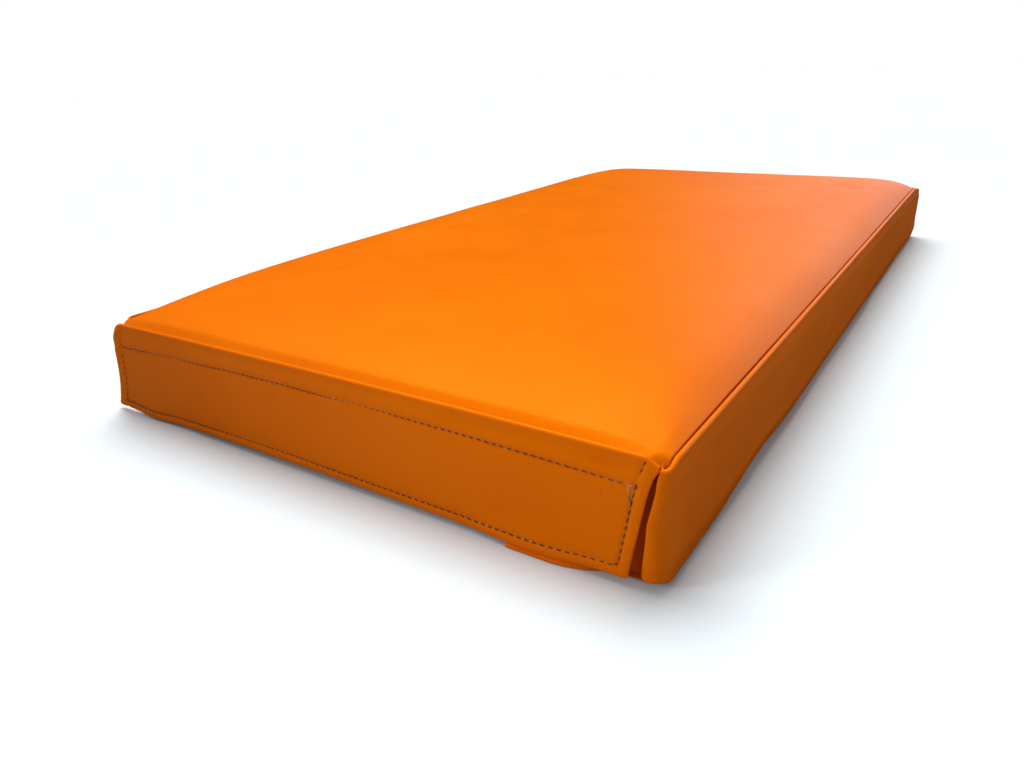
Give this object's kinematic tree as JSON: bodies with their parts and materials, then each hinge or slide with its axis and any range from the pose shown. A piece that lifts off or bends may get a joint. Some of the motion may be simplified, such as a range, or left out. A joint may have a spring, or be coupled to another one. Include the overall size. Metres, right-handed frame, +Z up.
{
  "type": "vinyl-covered foam pad",
  "caption": "Low rectangular foam pad in a smooth sewn vinyl cover with a crowned top and a hook-and-loop flap hanging across its front end.",
  "frame": {"origin": "on the floor under the middle of the pad, at the centre of the foam's plan", "axes": "+X across the pad, to the right seen from the flap; +Y along the pad, away from the flap; +Z up"},
  "size_m": [0.467, 0.9083, 0.091],
  "materials": {
    "vinyl": "smooth satin orange coated fabric",
    "foam": "open-cell foam, matt",
    "hook_tape": "stiff nylon hooks",
    "loop_tape": "brushed nylon loops",
    "thread": "bonded polyester thread"
  },
  "bodies": {
    "cover": {"foam_core": "foam", "top_panel": "vinyl", "bottom_panel": "vinyl", "left_boxing": "vinyl", "right_boxing": "vinyl", "front_fly": "vinyl", "hook_tape": "hook_tape", "hook_tape_upper_thread": "thread", "hook_tape_lower_thread": "thread", "left_return_thread": "thread", "right_return_thread": "thread", "top_seam_thread": "thread", "bottom_seam_thread": "thread", "fly_seam_thread": "thread", "flap_seam_thread": "thread"},
    "flap": {"closing_flap": "vinyl", "loop_tape": "loop_tape", "flap_hem_thread": "thread", "loop_tape_thread": "thread"}
  },
  "joints": [
    {"name": "flap_hinge", "type": "hinge", "parent": "cover", "child": "flap", "pos_m": [0, -0.4562, 0.0747], "axis": [-1, 0, 0], "range_deg": [0, 225]}
  ]
}
